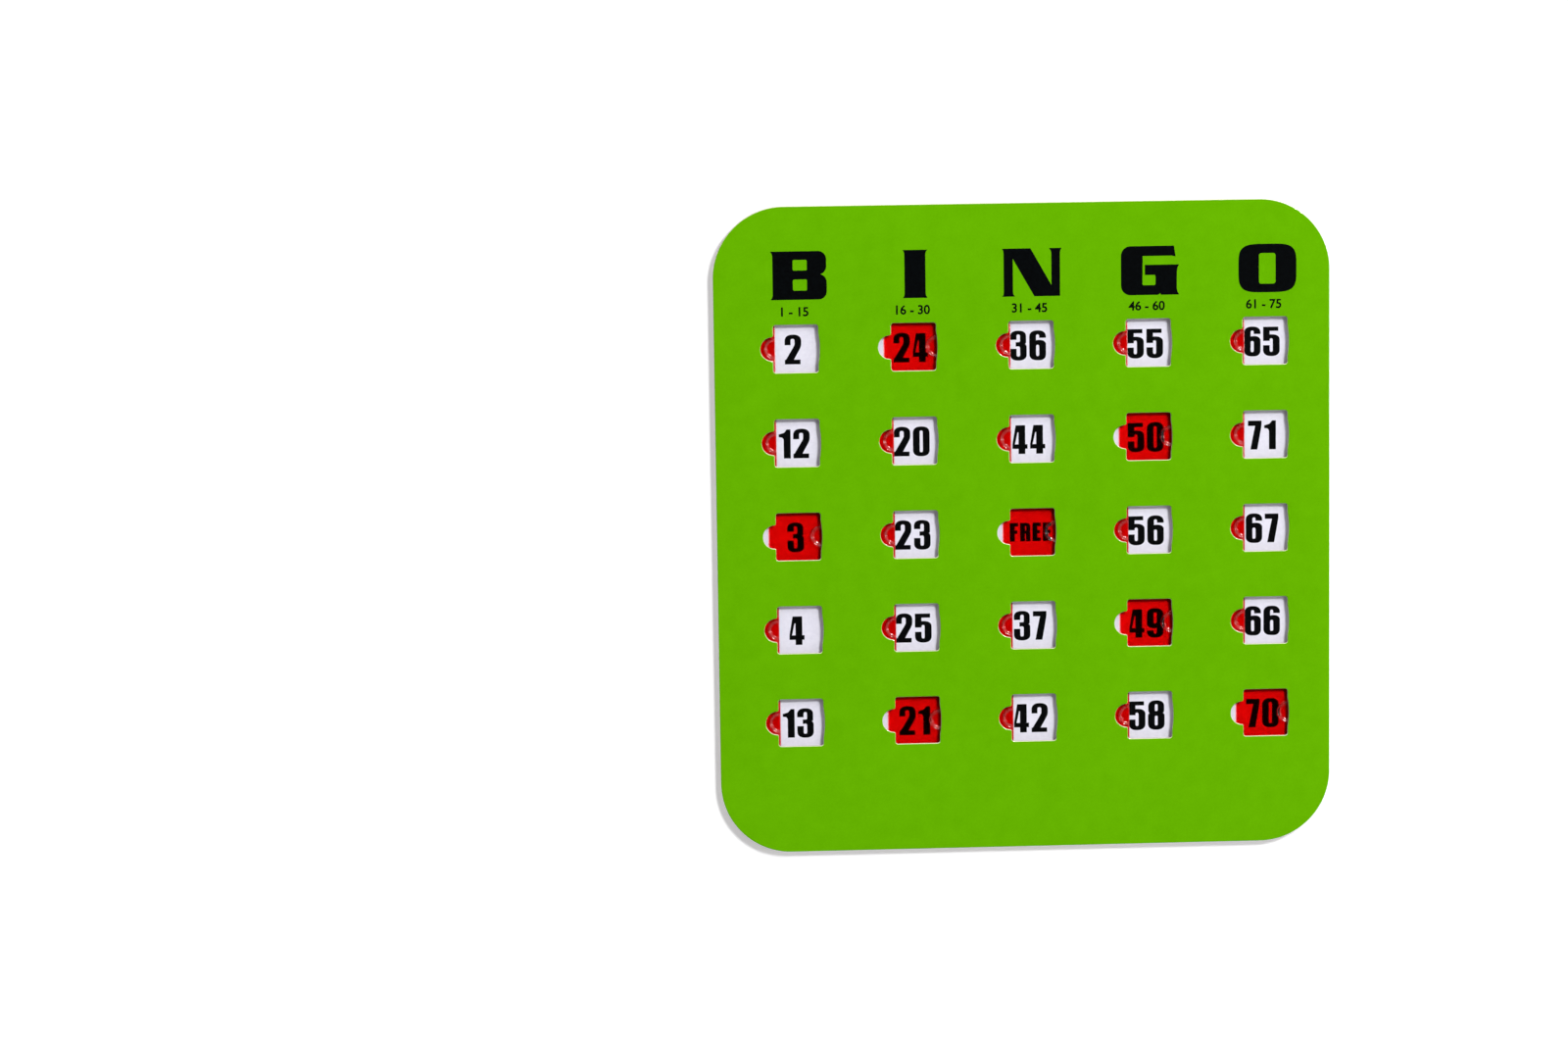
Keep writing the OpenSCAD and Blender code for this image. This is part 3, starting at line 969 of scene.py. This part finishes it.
mould, mould_faces = joined(plate_parts(), tab_parts())
print("mould:", len(mould), "points")
for name in windows:
    low, high = box_mm(f"shutter_{name}")
    place = np.array([high[0], (low[1] + high[1]) / 2, low[2]])
    make_piece(f"shutter_{name}_moulding", [(mould + place, mould_faces)], red_plastic,
               f"shutter_{name}", [f"shutter_{name}"], sharp=35)
print("moulded", len(windows), "shutters of", len(mould_faces), "faces")

# %% [markdown]
# ## The table and the light
# The card lies on a white table. Seen from below the table is see-through, and it stops no
# light on its way to the card, so that the back can be looked at: what a real table would
# throw back comes from the lower half of the sky instead. The camera sees the table a
# little brighter than the lamps make it, which keeps it white and still shows the card's
# shadow. A large lamp at the upper right throws the short shadows inside the windows, and
# the sky fills them.

# %% Table
# Half the table's side and how far it lies under the card, in mm, and its glow
TABLE, TABLE_GAP, TABLE_GLOW = 4000, 0.02, 0.25


def table_material():
    """White table: a matt surface and a weak glow that only the camera and reflections
    see, and nothing at all from below."""
    m, out = new_material("white_table")
    place = add(m, "ShaderNodeTexCoord").outputs["Object"]
    # Faint clouds about 170 mm across
    cloud = add(m, "ShaderNodeTexNoise", {"Vector": place, "Scale": 6.0, "Detail": 2.0})
    colour = ramp(m, cloud.outputs["Fac"], [(0.3, "#F4F4F5"), (0.7, "#F8F8F8")])
    matt = add(m, "ShaderNodeBsdfDiffuse", {"Color": colour})
    path = add(m, "ShaderNodeLightPath")
    seen = add(m, "ShaderNodeMath", {0: path.outputs["Is Camera Ray"],
                                     1: path.outputs["Is Glossy Ray"]}, operation="MAXIMUM")
    glow = add(m, "ShaderNodeMath", {0: seen.outputs[0], 1: TABLE_GLOW},
               operation="MULTIPLY")
    light = add(m, "ShaderNodeEmission", {"Strength": glow.outputs[0]})
    lit = add(m, "ShaderNodeAddShader", {0: matt.outputs[0], 1: light.outputs[0]})
    clear = add(m, "ShaderNodeBsdfTransparent")
    behind = add(m, "ShaderNodeNewGeometry").outputs["Backfacing"]
    both = add(m, "ShaderNodeMixShader", {0: behind, 1: lit.outputs[0], 2: clear.outputs[0]})
    return finish_with(m, out, both.outputs[0])


table_mesh = bpy.data.meshes.new("table")
table_corners = at_height(bar(-TABLE, TABLE, -TABLE, TABLE), -TABLE_GAP)
table_mesh.from_pydata((table_corners * MM).tolist(), [], [(0, 1, 2, 3)])
table_mesh.materials.append(table_material())
table = bpy.data.objects.new("table", table_mesh)
bpy.context.scene.collection.objects.link(table)
table.visible_diffuse = False
table.visible_shadow = False
print("table:", 2 * TABLE, "mm wide")

# %% [markdown]
# The sky is a formula instead of a picture: its brightness falls with the square of the
# height over the horizon, so that the overhead part is dark. The film on the card mirrors
# that part into the camera, and a bright one would wash the green out.

# %% Sky
# Brightness of the sky at the horizon, and of everything below it
HORIZON, GROUND = 1.5, 0.8
world = bpy.data.worlds.new("studio")
world.use_nodes = True
bpy.context.scene.world = world
back = world.node_tree.nodes["Background"]
back.inputs["Color"].default_value = linear("#FBFBFF")
up = add(world, "ShaderNodeSeparateXYZ",
         {0: add(world, "ShaderNodeTexCoord").outputs["Generated"]})
low = add(world, "ShaderNodeMath", {0: 1.0, 1: up.outputs["Z"]}, operation="SUBTRACT")
fade = add(world, "ShaderNodeMath", {0: low.outputs[0], 1: 2.0}, operation="POWER")
sky = add(world, "ShaderNodeMath", {0: fade.outputs[0], 1: HORIZON}, operation="MULTIPLY")
below = add(world, "ShaderNodeMath", {0: up.outputs["Z"], 1: 0.0}, operation="LESS_THAN")
both = add(world, "ShaderNodeMix", {0: below.outputs[0], 2: sky.outputs[0], 3: GROUND})
world.node_tree.links.new(both.outputs[0], back.inputs["Strength"])
print("sky: strength", HORIZON, "at the horizon,", GROUND, "below it")

# %% [markdown]
# Four lamps stand round the card. One is far away and throws the shadows, two are strips
# that draw highlights on the tabs, and one stands for light that the room throws back.

# %% Lamps


def area_lamp(name, place, size, power):
    """White lamp of size (width, height) at place, all in mm, turned to the card's middle.
    Its power is in watts."""
    data = bpy.data.lights.new(name, "AREA")
    data.shape = "RECTANGLE"
    data.size, data.size_y = size[0] * MM, size[1] * MM
    data.energy = power
    lamp = bpy.data.objects.new(name, data)
    lamp.location = Vector(place) * MM
    lamp.rotation_euler = (-lamp.location).to_track_quat("-Z", "Y").to_euler()
    bpy.context.scene.collection.objects.link(lamp)
    print("lamp", name, power, "W")
    return lamp


# The key's direction makes shadows 0.77 to the left and 0.85 down for each mm of depth
key = area_lamp("key", (2280, 2520, 2960), (890, 890), 168)
# Its glint inside the thin plastic would cover the numbers with red specks
key.visible_transmission = False
area_lamp("strip_right", (1000, 0, 560), (150, 1400), 3)
area_lamp("strip_top", (0, 1000, 560), (1400, 150), 3)
# Light that a large room throws back from below: it fills, and shows in no reflection
fill = area_lamp("table_bounce", (0, -1400, 700), (2400, 700), 4)
fill.visible_glossy = False

# %% [markdown]
# ## Last settings
# The Standard view shows a colour about as it is written. The two boxes that are written
# show that the dressed card is no larger than the imported one, apart from its film of ink.

# %% View settings
bpy.context.scene.view_settings.view_transform = "Standard"
